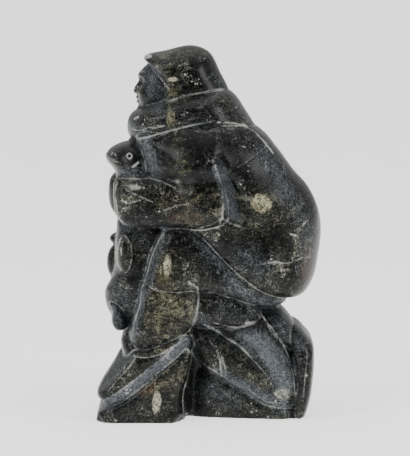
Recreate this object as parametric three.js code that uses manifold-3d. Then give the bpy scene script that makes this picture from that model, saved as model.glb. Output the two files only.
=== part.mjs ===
// A soapstone carving of a kneeling hunter in a hooded parka who holds a seal to the chest.
// The whole carving is one stone. It stands on a flat base, faces -X, and Z is up.
// The side worked in most detail faces -Y.  Millimetres.
//
// Every form is a rounded lens: a closed outline in the X-Z plane that swells toward -Y (near)
// and +Y (far).  An edge number says how square the rim is: 2 is round, 8 is nearly a step.
import * as THREE from 'three';
import { mergeVertices } from 'three/addons/utils/BufferGeometryUtils.js';
import Module from 'manifold-3d';

const BODY_DEPTH = 48;        // middle plane to the widest part of the back
const ARM_PLANE = 26;         // middle plane to the middle of an upper arm
const LEG_PLANE = 18;         // middle plane to the middle of a leg
const FAR_SCALE = -1;         // turns a near depth into the matching far depth
const ROUND = 2.6;            // edge number of a soft, worn form
const CUT = 6;                // edge number of a form with steep sides
const AROUND = 20;            // facets round an outline
const ACROSS = 10;            // facets from the near face to the far face
const BLOCK = 400;            // a block larger than the carving

const STONE = new THREE.MeshStandardMaterial({ color: 0x2b2e2c, roughness: 0.35, metalness: 0 });

const wasm = await Module();
wasm.setup();

// ---------- building blocks ----------

function toSolid(geometry) {
  const bare = geometry.index ? geometry.clone() : geometry;
  bare.deleteAttribute('normal');
  bare.deleteAttribute('uv');
  const merged = mergeVertices(bare, 1e-4);
  return new wasm.Manifold(new wasm.Mesh({
    numProp: 3,
    vertProperties: new Float32Array(merged.attributes.position.array),
    triVerts: new Uint32Array(merged.index.array),
  }));
}

const join = (solids) => solids.reduce((whole, solid) => whole.add(solid));

// An oval outline round (x, z), turned by `tilt` degrees.
function oval(x, z, halfLength, halfHeight, tilt = 0) {
  const turn = THREE.MathUtils.degToRad(tilt);
  const ellipse = new THREE.EllipseCurve(x, z, halfLength, halfHeight, 0, 2 * Math.PI, true, turn);
  return ellipse.getPoints(8).slice(0, 8).map((point) => [point.x, point.y]);
}

// A rounded form.  `at` is its middle; `outline` lists [x, z] or [x, z, edge] points;
// `near` and `far` are its half depths; `lean` slants its middle plane along X and Z.
function swell({ at, outline, near, far = near, edge = ROUND, lean = [0, 0],
  around = AROUND, across = ACROSS }) {
  const flat = outline.map(([x, z]) => new THREE.Vector2(x, z));
  const points = THREE.ShapeUtils.isClockWise(flat) ? outline : [...outline].reverse();
  const rim = new THREE.CatmullRomCurve3(
    points.map(([x, z]) => new THREE.Vector3(x, 0, z)), true, 'centripetal');
  const edgeAt = (share) => {
    const step = share * points.length;
    const from = Math.floor(step) % points.length;
    const to = (from + 1) % points.length;
    return THREE.MathUtils.lerp(points[from][2] ?? edge, points[to][2] ?? edge, step % 1);
  };
  const [x0, y0, z0] = at;
  const form = new THREE.SphereGeometry(1, around, across);
  const place = form.attributes.position;
  for (let i = 0; i < place.count; i += 1) {
    const longitude = form.attributes.uv.getX(i) % 1;
    const latitude = form.attributes.uv.getY(i) * Math.PI;
    const share = rim.getUtoTmapping(longitude < 0 ? longitude + 1 : longitude);
    const point = rim.getPoint(share);
    const power = edgeAt(share);
    const out = Math.abs(Math.sin(latitude));
    const side = Math.cos(latitude);
    const reach = (out ** power + Math.abs(side) ** power) ** (-1 / power);
    const dx = (point.x - x0) * out * reach;
    const dz = (point.z - z0) * out * reach;
    const depth = side > 0 ? -near : far;
    place.setXYZ(i, x0 + dx, y0 + lean[0] * dx + lean[1] * dz + depth * Math.abs(side) * reach, z0 + dz);
  }
  return toSolid(form);
}

// The same form on the far side of the middle plane.
function opposite({ at, near, far = near, lean = [0, 0], ...rest }) {
  return { ...rest, at: [at[0], FAR_SCALE * at[1], at[2]], near: far, far: near,
    lean: [FAR_SCALE * lean[0], FAR_SCALE * lean[1]] };
}

// Shaves a flat facet through three points; the waste lies toward -X.
function shave(solid, a, b, c) {
  const [p, q, r] = [a, b, c].map((point) => new THREE.Vector3(...point));
  const plane = new THREE.Plane().setFromCoplanarPoints(p, q, r);
  if (plane.normal.x > 0) plane.negate();
  const waste = new THREE.BoxGeometry(BLOCK, BLOCK, BLOCK);
  waste.translate(0, 0, BLOCK / 2);
  waste.applyQuaternion(
    new THREE.Quaternion().setFromUnitVectors(new THREE.Vector3(0, 0, 1), plane.normal));
  waste.translate(p.x, p.y, p.z);
  return solid.subtract(toSolid(waste));
}

// ---------- parka ----------

function parka() {
  const back = swell({
    at: [16, 0, 125], near: BODY_DEPTH, around: 30,
    outline: [[12, 188, 3.2], [24, 181, 3], [33, 175.5, 2.7], [40.6, 166.4, 2.5], [51, 155.7, 2.3],
      [61.8, 145.6, 2.3], [69.2, 131.5, 2.3], [71.6, 118, 2.3], [70, 101, 2.4], [66.4, 86, 2.8],
      [60, 77.5, 4], [52, 75.5, 6], [42, 77, 8], [33, 80, 8], [24, 86, 8], [14, 95, 8], [5, 104, 8],
      [-3, 113, 8], [-14, 121, 6], [-26, 136, 4], [-30, 152, 3], [-32, 168, 3], [-20, 182, 3.2]],
  });
  const shoulder = {
    at: [4, -18, 156], near: 29.5, edge: 2.4, around: 18, across: 8,
    outline: [[-28, 174], [-10, 187], [12, 186], [26, 179], [38, 168], [46, 152], [42, 134],
      [20, 122], [-8, 130], [-28, 152]],
  };
  const armHollow = swell({
    at: [11, -55.5, 142], near: 12,
    outline: [[2, 130, 6], [2, 142, 6], [2, 154, 6], [3.5, 165, 4], [11, 158, 2], [20, 147, 2],
      [27, 131, 2], [20, 122, 3], [8, 124, 6]],
  });
  const coat = join([back, swell(shoulder), swell(opposite(shoulder))]);
  return coat.subtract(armHollow);
}

function chest() {
  return swell({
    at: [-22, 0, 165], near: 41.5, edge: 3.2, around: 18,
    outline: [[-44.5, 177, 6], [-30, 188, 3], [-5, 190, 3], [5, 175, 3], [0, 150, 3], [-20, 146, 3],
      [-34, 151, 5], [-37.5, 160, 7], [-41, 168, 7]],
  });
}

function collar() {
  return swell({
    at: [-10, 0, 190], near: 43, around: 26,
    outline: [[-51, 182], [-49, 189], [-40, 194.5], [-29, 198], [-15, 203.5], [0, 205.5],
      [12, 205], [17.5, 201], [23.5, 192.3], [28.3, 184.5], [32, 178.3], [25, 180.2], [16, 183.8],
      [4, 185], [-8, 183.5], [-25, 179], [-41, 173.5], [-49, 175]],
  });
}

function sleeves() {
  const upperArm = {
    at: [-4, -ARM_PLANE, 150], near: 27.5, far: 20, edge: 3, across: 8,
    outline: [[-22, 160], [-25, 172, ROUND], [-12, 179, ROUND], [0, 176, ROUND], [4, 166, 5],
      [7, 158, 9], [9, 147, 9], [9.5, 134, 9], [8.5, 127, 9], [-5, 122, 6], [-14, 130], [-14, 147]],
  };
  const nearForearm = {
    at: [-24, -28, 137], near: 20, far: 18, edge: 4.5, lean: [-0.17, 0],
    outline: [[-58, 150], [-52, 153], [-40, 153], [-28, 152], [-15, 148.5], [0, 144], [9, 134],
      [8, 126.5], [-2, 123.5], [-15, 121], [-30, 120], [-42, 120.5], [-52, 121.8], [-57, 127],
      [-59, 139]],
  };
  // the far arm reaches a little farther round the seal
  const farForearm = {
    at: [-26, 27, 137], near: 24, far: 15, edge: 4, lean: [0.3, 0],
    outline: [[-61.5, 149], [-52, 153], [-40, 153], [-28, 152], [-15, 148.5], [0, 144], [9, 134],
      [8, 126.5], [-2, 123.5], [-15, 121], [-30, 120], [-42, 120.5], [-55, 122], [-61.5, 128],
      [-63.5, 139]],
  };
  return join([swell(upperArm), swell(opposite(upperArm)), swell(nearForearm), swell(farForearm)]);
}

// ---------- head ----------

function head() {
  const small = { edge: 2.2, around: 10, across: 6 };
  const skull = swell({
    at: [-28, 0, 206], near: 17, edge: 2.2,
    outline: [[-39, 220], [-43, 214], [-43.2, 210], [-44, 205], [-44.2, 199], [-42.5, 193.5],
      [-37, 190], [-20, 190], [-10, 206], [-20, 222]],
  });
  const brow = swell({ at: [-40, 0, 214], near: 12, ...small, outline: oval(-40.4, 214, 3.6, 2.2, 10) });
  const nose = swell({
    at: [-42, 0, 206], near: 3.4, ...small,
    outline: [[-41, 213], [-44.4, 209], [-47, 204.4], [-46.4, 202.5], [-42, 201.6], [-37, 206]],
  });
  const nostrils = swell({
    at: [-43, 0, 203.4], near: 4.8, ...small, outline: oval(-43.2, 203.4, 2.6, 1.9),
  });
  const upperLip = swell({
    at: [-42, 0, 199.6], near: 6, ...small, outline: oval(-42.3, 199.7, 3.4, 1.5),
  });
  const lowerLip = swell({ at: [-42, 0, 197], near: 5, ...small, outline: oval(-42, 197.1, 3.2, 1.5) });
  const chin = swell({ at: [-39, 0, 193], near: 6, ...small, outline: oval(-39.6, 193, 4.4, 3.2) });
  const cheek = { at: [-35, -9, 202], near: 7, ...small, outline: oval(-35.4, 202, 6.6, 6) };
  const socket = { at: [-42, -7.4, 210.2], near: 4.6, ...small, outline: oval(-43.4, 210.2, 4, 2.6) };
  const eye = { at: [-39, -7.2, 210], near: 3.4, ...small, outline: oval(-38.6, 210, 2.7, 1.9) };
  const sunk = join([skull, brow, swell(cheek), swell(opposite(cheek))])
    .subtract(join([swell(socket), swell(opposite(socket))]));
  return join([sunk, nose, nostrils, upperLip, lowerLip, chin, swell(eye), swell(opposite(eye))]);
}

function hood() {
  return swell({
    at: [-12, 0, 212], near: 27, around: 24,
    outline: [[-40.5, 225.3, 3], [-26, 229.5, 2.5], [-10, 232.5, 2.3], [0.8, 228.3, 2.3],
      [7.5, 216.1, 2.3], [13.3, 203.1, 2.5], [12, 194, 3], [-15, 192, 4], [-27, 198, 6],
      [-26, 204, 6], [-27, 209.5, 6], [-34, 218, 5]],
  });
}

// ---------- seal ----------

function seal() {
  const neck = swell({
    at: [-44, -3, 157], near: 32, far: 20, around: 16, across: 8,
    outline: [[-55, 149], [-57, 156], [-50, 168], [-41, 170], [-33, 160], [-28, 148], [-42, 144]],
  });
  const face = swell({
    at: [-49, -3, 164], near: 30, far: 19, around: 18,
    outline: [[-64.5, 163.5, 2], [-62, 167.5, 2], [-56, 171, 2.2], [-48, 172.6], [-38, 170, 3],
      [-35, 161, 3], [-48, 156.5, 2.6], [-58, 157, 2.2], [-63.3, 160.3, 2]],
  });
  const body = swell({
    at: [-42, 0, 90], near: 26, around: 16, across: 8,
    outline: [[-56, 126], [-58, 116], [-59, 108], [-59.2, 96], [-61.2, 86], [-65.4, 77],
      [-65, 70], [-61.5, 62], [-50, 53], [-35, 52], [-22, 80], [-22, 112], [-38, 128]],
  });
  const nearFlipper = swell({
    at: [-51, -18, 102], near: 11, around: 16, across: 8, outline: oval(-51.5, 103, 5.5, 12, 4),
  });
  const farFlipper = swell({
    at: [-56, 16, 93.5], near: 12, edge: 3.2, around: 12, across: 6, outline: oval(-56.5, 93.5, 8.4, 12.5),
  });
  const farHand = swell({
    at: [-55, 16, 108.5], near: 10, around: 10, across: 6, outline: oval(-55, 108.5, 8.2, 4.2),
  });
  const tail = swell({
    at: [-56, -10, 62], near: 15, edge: 3, around: 14, across: 6,
    outline: [[-62, 72], [-57, 71.5], [-53, 66], [-51, 59.5], [-51.5, 54.5], [-57.5, 53.2],
      [-60.8, 58], [-60.8, 66]],
  });
  return join([neck, face, body, nearFlipper, farFlipper, farHand, tail]);
}

// ---------- raised leg ----------

function raisedLeg() {
  const thigh = swell({
    at: [0, -LEG_PLANE, 97], near: 28, edge: 3, lean: [0.06, 0], around: 26,
    outline: [[-27, 120.5, 6], [-20, 123, 4], [-8, 122], [5, 113], [20, 98], [38, 84], [50, 78],
      [48, 72], [40, 70.5, 4], [30, 71.5, 5], [16, 76, 6], [4, 79.5, 6], [-8, 80, 6],
      [-22, 80, 6], [-36, 82, 6], [-40.5, 85, 6], [-38.5, 94, 6], [-34, 108, 6]],
  });
  const shaft = swell({
    at: [-27, -LEG_PLANE, 64], near: 28, edge: CUT,
    outline: [[-40.5, 87], [-30, 84], [-18, 82.5], [-6, 84.5], [-6, 74], [-8.5, 64], [-12, 56],
      [-22, 49], [-34, 44], [-43.5, 43.3], [-48.8, 49], [-48, 58], [-44, 73]],
  });
  const foot = swell({
    at: [-43, -28, 33], near: 22, edge: 4,
    outline: [[-52, 46], [-44, 45], [-30, 48], [-14, 55], [-20, 46], [-35, 34.5], [-50, 22.5],
      [-60, 15], [-66.5, 12.5], [-69.5, 16.5], [-67, 23], [-60, 34]],
  });
  // the stone left under the foot, a little behind the faces above and below it
  const soleBand = swell({
    at: [-38, -20, 29], near: 28.5, edge: CUT, around: 16, across: 8,
    outline: [[-63, 8], [-66, 12], [-52, 26], [-32, 41], [-12, 54], [-9, 46], [-28, 32], [-46, 17]],
  });
  const knee = shave(thigh, [-41.5, -37, 80], [-29, -37, 121], [-25, -45, 121]);
  const shin = shave(shaft, [-49.5, -38, 50], [-40.5, -38, 87], [-36, -46, 87]);
  const toes = shave(foot, [-46, -48, 42], [-63, -48, 21], [-66.5, -28, 25]);
  return join([knee, shin, toes, soleBand]);
}

// ---------- kneeling leg ----------

function kneelingLeg() {
  const calf = swell({
    at: [26, -14, 48], near: 29, edge: 3, around: 24,
    outline: [[-5, 61.5], [8, 59.5], [20, 58.5, 4], [30, 61, 5], [34, 65, 5], [40, 60], [47, 51],
      [51.5, 42, 4], [55, 30, 4], [58.5, 16, 4], [57, 6, 2], [47, 9.5, 2], [37, 22, 2.4], [28, 36, 2.8],
      [17, 47, 4], [5, 56, 5]],
  });
  const calfUnder = swell({
    at: [18, -12, 33], near: 28, edge: 4,
    outline: [[-10, 58], [5, 55], [18, 46], [28, 38], [38, 27], [48, 17], [56, 9], [54, 3], [45, 3],
      [36, 7], [28, 12], [20, 18], [10, 24], [2, 28], [-7, 36], [-12, 46]],
  });
  const fold = swell({
    at: [14, -14, 68], near: 27, edge: 4, around: 16, across: 8,
    outline: [[-14, 60], [-14, 80], [2, 82], [12, 80], [22, 76.5], [31, 71], [34, 64], [26, 57],
      [12, 56]],
  });
  const heel = swell({
    at: [42, -2, 58], near: 35, around: 14, across: 8,
    outline: [[28, 70], [38, 68.5], [46, 67], [50.5, 63], [54.5, 57], [56, 45], [50, 35],
      [38, 44], [30, 58]],
  });
  const sole = swell({
    at: [58, -2, 28], near: 38, edge: 4.5, around: 18, across: 8,
    outline: [[53, 58], [57.5, 56.2], [62, 51.7], [66.2, 46], [67, 37], [66, 22], [64.2, 10],
      [59, -4], [55, -6], [56.5, 20], [53.5, 42]],
  });
  const farThigh = swell({
    at: [0, LEG_PLANE, 58], near: 27, edge: 3.2, around: 14, across: 8,
    outline: [[50, 74], [35, 88], [5, 100], [-25, 85], [-36, 60], [-41, 30], [-40, 8],
      [-30, -5], [-10, 0], [8, 30], [36, 64]],
  });
  const farShin = swell({
    at: [12, LEG_PLANE, 12], near: 26, edge: 3.2, around: 14, across: 6,
    outline: [[-38, 14], [-25, 26], [0, 30], [30, 30], [58, 24], [60, -5], [-36, -5]],
  });
  return join([calf, calfUnder, fold, heel, sole, farThigh, farShin]);
}

// ---------- base and the stone left between the legs ----------

function base() {
  const front = swell({
    at: [-36, -12, 14], near: 39, edge: 9,
    outline: [[-68.3, 6.2], [-63.2, 8.5], [-55, 12.5], [-46, 19], [-36, 27.5], [-26, 36.5],
      [-18, 43], [-12, 48], [-10.5, 40, 6], [-12.5, 28, 5], [-15, 16, 5], [-15, 4, 5], [-17, -6],
      [-35, -8], [-60, -8], [-68.5, -5], [-69.8, 1]],
  });
  const rear = swell({
    at: [24, -2, 7], near: 32, far: 36, edge: 5, lean: [-0.16, 0],
    outline: [[-12, 28], [-6, 34], [4, 28.5], [14, 23.5], [24, 17], [34, 10.5], [44, 7.5],
      [54, 6.5], [58, 2], [58, -5], [-14, -5]],
  });
  return join([front, rear]);
}

function core() {
  const front = swell({
    at: [-30, 0, 32], near: 42, edge: CUT, around: 12, across: 6,
    outline: [[-60, 8], [-57, 20], [-53.6, 40], [-54.5, 50], [-40, 60], [-20, 75], [-10, 60],
      [-12, 30], [-15, -5], [-57, -5]],
  });
  const middle = swell({
    at: [8, 5, 45], near: 29, far: 36, edge: CUT, around: 12, across: 6,
    outline: [[-25, 85], [10, 90], [40, 75], [48, 55], [50, -5], [-20, -5], [-25, 40]],
  });
  return join([front, middle]);
}

// ---------- the carving ----------

function carving() {
  const uncut = join([parka(), chest(), collar(), sleeves(), head(), hood(), seal(), raisedLeg(),
    kneelingLeg(), base(), core()]);
  const ground = new THREE.BoxGeometry(BLOCK, BLOCK, BLOCK);
  ground.translate(0, 0, -BLOCK / 2);
  const { vertProperties, triVerts } = uncut.subtract(toSolid(ground)).getMesh();
  const geometry = new THREE.BufferGeometry();
  geometry.setAttribute('position', new THREE.BufferAttribute(new Float32Array(vertProperties), 3));
  geometry.setIndex(new THREE.BufferAttribute(new Uint32Array(triVerts), 1));
  geometry.computeBoundingBox();
  const middle = geometry.boundingBox.getCenter(new THREE.Vector3());
  geometry.translate(-middle.x, -middle.y, 0);
  return geometry;
}

const hunter = new THREE.Mesh(carving(), STONE);
hunter.name = 'hunter_carving';

const sculpture = new THREE.Group();
sculpture.add(hunter);

export default sculpture;
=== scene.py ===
"""A soapstone carving of a kneeling hunter who holds a seal, on a pale studio floor."""
import math

import bmesh
import bpy
import numpy as np
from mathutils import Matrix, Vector


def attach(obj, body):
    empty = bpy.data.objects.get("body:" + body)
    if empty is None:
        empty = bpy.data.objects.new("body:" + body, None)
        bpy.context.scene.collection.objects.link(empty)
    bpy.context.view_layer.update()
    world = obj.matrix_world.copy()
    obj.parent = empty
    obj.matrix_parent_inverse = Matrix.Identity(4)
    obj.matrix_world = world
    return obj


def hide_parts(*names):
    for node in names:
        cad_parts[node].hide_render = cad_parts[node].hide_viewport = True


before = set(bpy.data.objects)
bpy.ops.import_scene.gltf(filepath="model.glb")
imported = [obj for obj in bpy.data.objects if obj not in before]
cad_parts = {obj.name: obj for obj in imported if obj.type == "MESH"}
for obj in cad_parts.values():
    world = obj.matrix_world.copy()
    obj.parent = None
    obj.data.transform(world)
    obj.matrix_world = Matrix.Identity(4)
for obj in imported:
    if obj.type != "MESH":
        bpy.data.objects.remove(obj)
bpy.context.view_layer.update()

MM = 0.001                      # the carving's own shapes are worked out in millimetres
NODE = "hunter_carving"

# ---------- camera ----------

VIEW_TARGET = (-1.9, 0.0, 116.6)
VIEW_DISTANCE = 1600.0
VIEW_ELEVATION = 6.0            # degrees
LENS = 198.9                    # millimetres, on a 36 mm sensor


def add_camera():
    data = bpy.data.cameras.new("camera")
    data.lens = LENS
    data.sensor_width = 36.0
    data.clip_end = 50.0
    camera = bpy.data.objects.new("camera", data)
    tilt = math.radians(VIEW_ELEVATION)
    away = Vector((0.0, -math.cos(tilt), math.sin(tilt))) * VIEW_DISTANCE
    camera.location = (Vector(VIEW_TARGET) + away) * MM
    camera.rotation_euler = (math.radians(90.0 - VIEW_ELEVATION), 0.0, 0.0)
    bpy.context.collection.objects.link(camera)
    bpy.context.scene.camera = camera


# ---------- rounded forms ----------

BIG = 1000.0                    # farther than any point of the carving
TINY = 1e-6                     # keeps divisions off zero
MARGIN = 14.0                   # how far round a form its distance is worked out
FINE = 720                      # directions in which an outline's reach is kept
REACH_EASE = 2                  # directions to each side over which the reach is eased
EDGE_EASE = 10                  # and the edge number
ROUND = 2.6                     # edge number of a soft, worn form
OVAL_POINTS = 8
UNDERSIDE_EDGE = 0.8            # how far the sides flow into the underside


def ramp(value, low, high):
    """0 at low, 1 at high, straight between them and level beyond. Low may be the larger."""
    return np.clip((value - low) / (high - low), 0, 1)


def smooth_union(a, b, k):
    h = np.maximum(k - np.abs(a - b), 0.0) / k
    return np.minimum(a, b) - h * h * k * 0.25


def smooth_cut(a, b, k):
    return -smooth_union(-a, b, k)


def closed_curve(points, steps=10):
    """A smooth closed curve through [x, z, edge] points, as rows of the same three numbers."""
    rows = np.array(points, float)
    curve = []
    for i in range(len(rows)):
        p0, p1, p2, p3 = (rows[(i + j - 1) % len(rows)] for j in range(4))
        pairs = ((p0, p1), (p1, p2), (p2, p3))
        before, here, after = (math.sqrt(math.dist(a[:2], b[:2])) for a, b in pairs)
        leave = ((p1 - p0) / before - (p2 - p0) / (before + here) + (p2 - p1) / here) * here
        arrive = ((p2 - p1) / here - (p3 - p1) / (here + after) + (p3 - p2) / after) * here
        for t in np.arange(steps) / steps:
            bend = (3 * t * t - 2 * t ** 3) * (p2 - p1)
            row = p1 + bend + (t ** 3 - 2 * t * t + t) * leave + (t ** 3 - t * t) * arrive
            row[2] = p1[2] + (p2[2] - p1[2]) * t
            curve.append(row)
    return np.array(curve)


def circle_mean(values, width):
    """A mean over neighbouring directions, taken three times so that it is smooth."""
    ring = values[:-1]
    for _ in range(3):
        ring = np.mean([np.roll(ring, shift) for shift in range(-width, width + 1)], axis=0)
    return np.append(ring, ring[0])


class Form:
    """A closed outline in the X-Z plane that swells toward -Y (near) and +Y (far).

    `at` is its middle, `near` and `far` its half depths, and `lean` slants its middle plane along
    X and Z. An outline point may carry an edge number: 2 is round and 8 is nearly a step. `blend` is
    how far the form flows into what it joins."""

    def __init__(self, at, outline, near, far=None, edge=ROUND, lean=(0.0, 0.0), blend=2.0):
        self.at = np.array(at, float)
        self.near = near
        self.far = near if far is None else far
        self.lean = lean
        self.blend = blend
        curve = closed_curve([[p[0], p[1], p[2] if len(p) > 2 else edge] for p in outline])
        dx, dz = curve[:, 0] - at[0], curve[:, 1] - at[2]
        angle = np.arctan2(dz, dx)
        order = np.argsort(angle)
        grid = np.linspace(-math.pi, math.pi, FINE + 1)
        reach = np.interp(grid, angle[order], np.hypot(dx, dz)[order], period=math.tau)
        power = np.interp(grid, angle[order], curve[order, 2], period=math.tau)
        self.reach = circle_mean(reach, REACH_EASE)
        self.power = circle_mean(power, EDGE_EASE)
        self.slope = np.gradient(self.reach, grid)
        self.low = np.array([curve[:, 0].min(), at[1] - self.near, curve[:, 1].min()]) - MARGIN
        self.high = np.array([curve[:, 0].max(), at[1] + self.far, curve[:, 1].max()]) + MARGIN

    def distance(self, points):
        """About how far each point lies outside the form; below zero is inside."""
        dx, dy, dz = (points - self.at).T
        dy = dy - self.lean[0] * dx - self.lean[1] * dz
        turn = (np.arctan2(dz, dx) + math.pi) / math.tau * FINE
        index = np.clip(turn.astype(int), 0, FINE - 1)
        part = turn - index
        reach, power, slope = (
            table[index] * (1 - part) + table[index + 1] * part
            for table in (self.reach, self.power, self.slope)
        )
        depth = np.where(dy < 0, self.near, self.far)
        u = (np.hypot(dx, dz) + TINY) / reach
        v = np.abs(dy) / depth + TINY
        most = np.maximum(u, v)
        level = most * ((u / most) ** power + (v / most) ** power) ** (1 / power)
        du, dv = (u / level) ** (power - 1), (v / level) ** (power - 1)
        steep = (du / reach) ** 2 + (du * slope / reach ** 2) ** 2
        steep += (dv / depth) ** 2 * (1 + self.lean[0] ** 2 + self.lean[1] ** 2)
        return (level - 1) / np.sqrt(steep)


def oval(x, z, half_length, half_height, tilt=0.0):
    """An oval outline round (x, z)."""
    turn = math.radians(tilt)
    points = []
    for i in range(OVAL_POINTS):
        a = math.tau * i / OVAL_POINTS
        u, v = half_length * math.cos(a), half_height * math.sin(a)
        along = u * math.cos(turn) - v * math.sin(turn)
        up = u * math.sin(turn) + v * math.cos(turn)
        points.append([x + along, z + up])
    return points


class Facet:
    """A flat cut through three points. The waste lies toward -X."""

    def __init__(self, a, b, c, blend):
        self.blend = blend
        self.point = np.array(a, float)
        normal = np.cross(np.subtract(b, a), np.subtract(c, a))
        normal *= -np.sign(normal[0])
        self.normal = normal / np.linalg.norm(normal)

    def distance(self, points):
        return (points - self.point) @ self.normal


SHOULDER_FADE = (148.0, 160.0)  # the heights between which a sleeve runs into the shoulder


class Group:
    """Forms that flow into each other, with hollows and facets cut from them.

    `seam` is how far the group flows into the rest of the stone. Above SHOULDER_FADE it is
    `seam_above`."""

    def __init__(self, forms, hollows=(), facets=(), seam=1.2, seam_above=None):
        self.forms, self.hollows, self.facets = forms, hollows, facets
        self.seam = seam
        self.seam_above = seam if seam_above is None else seam_above
        self.low = np.min([form.low for form in forms], axis=0)
        self.high = np.max([form.high for form in forms], axis=0)

    def seam_at(self, points):
        t = ramp(points[:, 2], *SHOULDER_FADE)
        return self.seam + (self.seam_above - self.seam) * t * t * (3 - 2 * t)


SEAM_WIDTH = 1.3                # half width of the dusty line where two forms meet
SEAM_DUST = 0.85                # how dusty that line is
SEAM_LIMIT = 4.0                # forms of a group that flow farther than this meet without a line
SEAM_GONE = 5.4                 # a group that flows this far into the rest has no line round it
SEAM_FULL = 2.4                 # and one that flows this little has a full one
FACET_WIDTH = 1.6               # how softly a facet's dull face, with its painted sheen, begins
FACET_START = 0.6               # how dull it is at its very edge, and how much painted sheen it takes
CREASE_WIDTH = 1.0              # half width of the dusty line on a facet's outer crease
CREASE_CLEAN = -44.0            # creases nearer than this stay clean
CREASE_DUSTY = -40.0            # and are dusty from here on


def seam_line(a, b, width):
    return np.clip(1 - np.abs(a - b) / width, 0, 1)


def group_distance(group, points):
    """Distance to a group, the strength of its own seam lines, and how much of a facet a point is on."""
    d = group.forms[0].distance(points)
    line = np.zeros(len(points))
    facet = np.zeros(len(points))
    for form in group.forms[1:]:
        e = form.distance(points)
        if form.blend < SEAM_LIMIT:
            here = np.maximum(line, seam_line(d, e, SEAM_WIDTH))
            line = np.where(e < d - SEAM_WIDTH, 0, np.where(e > d + SEAM_WIDTH, line, here))
        d = smooth_union(d, e, form.blend)
    for hollow in group.hollows:
        e = hollow.distance(points)
        line = line * (-e <= d + SEAM_WIDTH)
        d = smooth_cut(d, e, hollow.blend)
    for cut in group.facets:
        e = cut.distance(points)
        outer = ramp(points[:, 1], CREASE_CLEAN, CREASE_DUSTY)
        line = np.maximum(line, seam_line(e, d, CREASE_WIDTH) * outer)
        facet = np.maximum(facet, np.clip(FACET_START + (e - d) / FACET_WIDTH, 0, 1))
        d = smooth_cut(d, -e, cut.blend)
    return d, line, facet


def stone_distance(points, groups):
    """Distance to the whole stone, with its seam lines and facets."""
    d = np.full(len(points), BIG)
    line = np.zeros(len(points))
    facet = np.zeros(len(points))
    for group in groups:
        near = np.all((points > group.low) & (points < group.high), axis=1)
        if not near.any():
            continue
        e, own_line, own_facet = group_distance(group, points[near])
        seam = group.seam_at(points[near])
        before, line_before, facet_before = d[near], line[near], facet[near]
        meet = seam_line(e, before, SEAM_WIDTH) * ramp(seam, SEAM_GONE, SEAM_FULL)
        inner = np.where(e < before, own_line, line_before)
        line[near] = np.where(
            e < before - SEAM_WIDTH, own_line,
            np.where(e > before + SEAM_WIDTH, line_before, np.maximum(meet, inner)))
        facet[near] = np.where(e < before, own_facet, facet_before)
        d[near] = smooth_union(before, e, seam)
    return smooth_cut(d, points[:, 2], UNDERSIDE_EDGE), line, facet


# ---------- the carving's forms ----------

BODY_DEPTH = 48.0
ARM_PLANE = 26.0
LEG_PLANE = 18.0


def both_sides(at, near, far=None, **shape):
    """A form on the near side and its twin on the far side."""
    far = near if far is None else far
    twin = (at[0], -at[1], at[2])
    return [Form(at, near=near, far=far, **shape), Form(twin, near=far, far=near, **shape)]


def parka():
    back = Form(
        (16, 0, 125), near=BODY_DEPTH,
        outline=[[12, 188, 3.2], [24, 181, 3], [33, 175.5, 2.7], [40.6, 166.4, 2.5], [51, 155.7, 2.3],
                 [61.8, 145.6, 2.3], [69.2, 131.5, 2.3], [71.6, 118, 2.3], [70, 101, 2.4],
                 [66.4, 86, 2.8], [60, 77.5, 4], [52, 75.5, 6], [42, 77, 8], [33, 80, 8],
                 [24, 86, 8], [14, 95, 8], [5, 104, 8], [-3, 113, 8], [-14, 121, 6], [-26, 136, 4],
                 [-30, 152, 3], [-32, 168, 3], [-20, 182, 3.2]])
    shoulders = both_sides(
        (4, -18, 156), near=29.5, edge=2.4, blend=16,
        outline=[[-28, 174], [-10, 187], [12, 186], [26, 179], [38, 168], [46, 152], [42, 134],
                 [20, 122], [-8, 130], [-28, 152]])
    arm_hollow = Form(
        (11, -55.5, 142), near=12, blend=1.5,
        outline=[[2, 130, 6], [2, 142, 6], [2, 154, 6], [3.5, 165, 4], [11, 158, 2], [20, 147, 2],
                 [27, 131, 2], [20, 122, 3], [8, 124, 6]])
    return [Group([back] + shoulders, hollows=[arm_hollow])]


def chest():
    form = Form(
        (-22, 0, 165), near=41.5, edge=3.2,
        outline=[[-44.5, 177, 6], [-30, 188, 3], [-5, 190, 3], [5, 175, 3], [0, 150, 3],
                 [-20, 146, 3], [-34, 151, 5], [-37.5, 160, 7], [-41, 168, 7]])
    return [Group([form], seam=8)]


def collar():
    form = Form(
        (-10, 0, 190), near=43,
        outline=[[-51, 182], [-49, 189], [-40, 194.5], [-29, 198], [-15, 203.5], [0, 205.5],
                 [12, 205], [17.5, 201], [23.5, 192.3], [28.3, 184.5], [32, 178.3], [25, 180.2],
                 [16, 183.8], [4, 185], [-8, 183.5], [-25, 179], [-41, 173.5], [-49, 175]])
    return [Group([form])]


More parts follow.
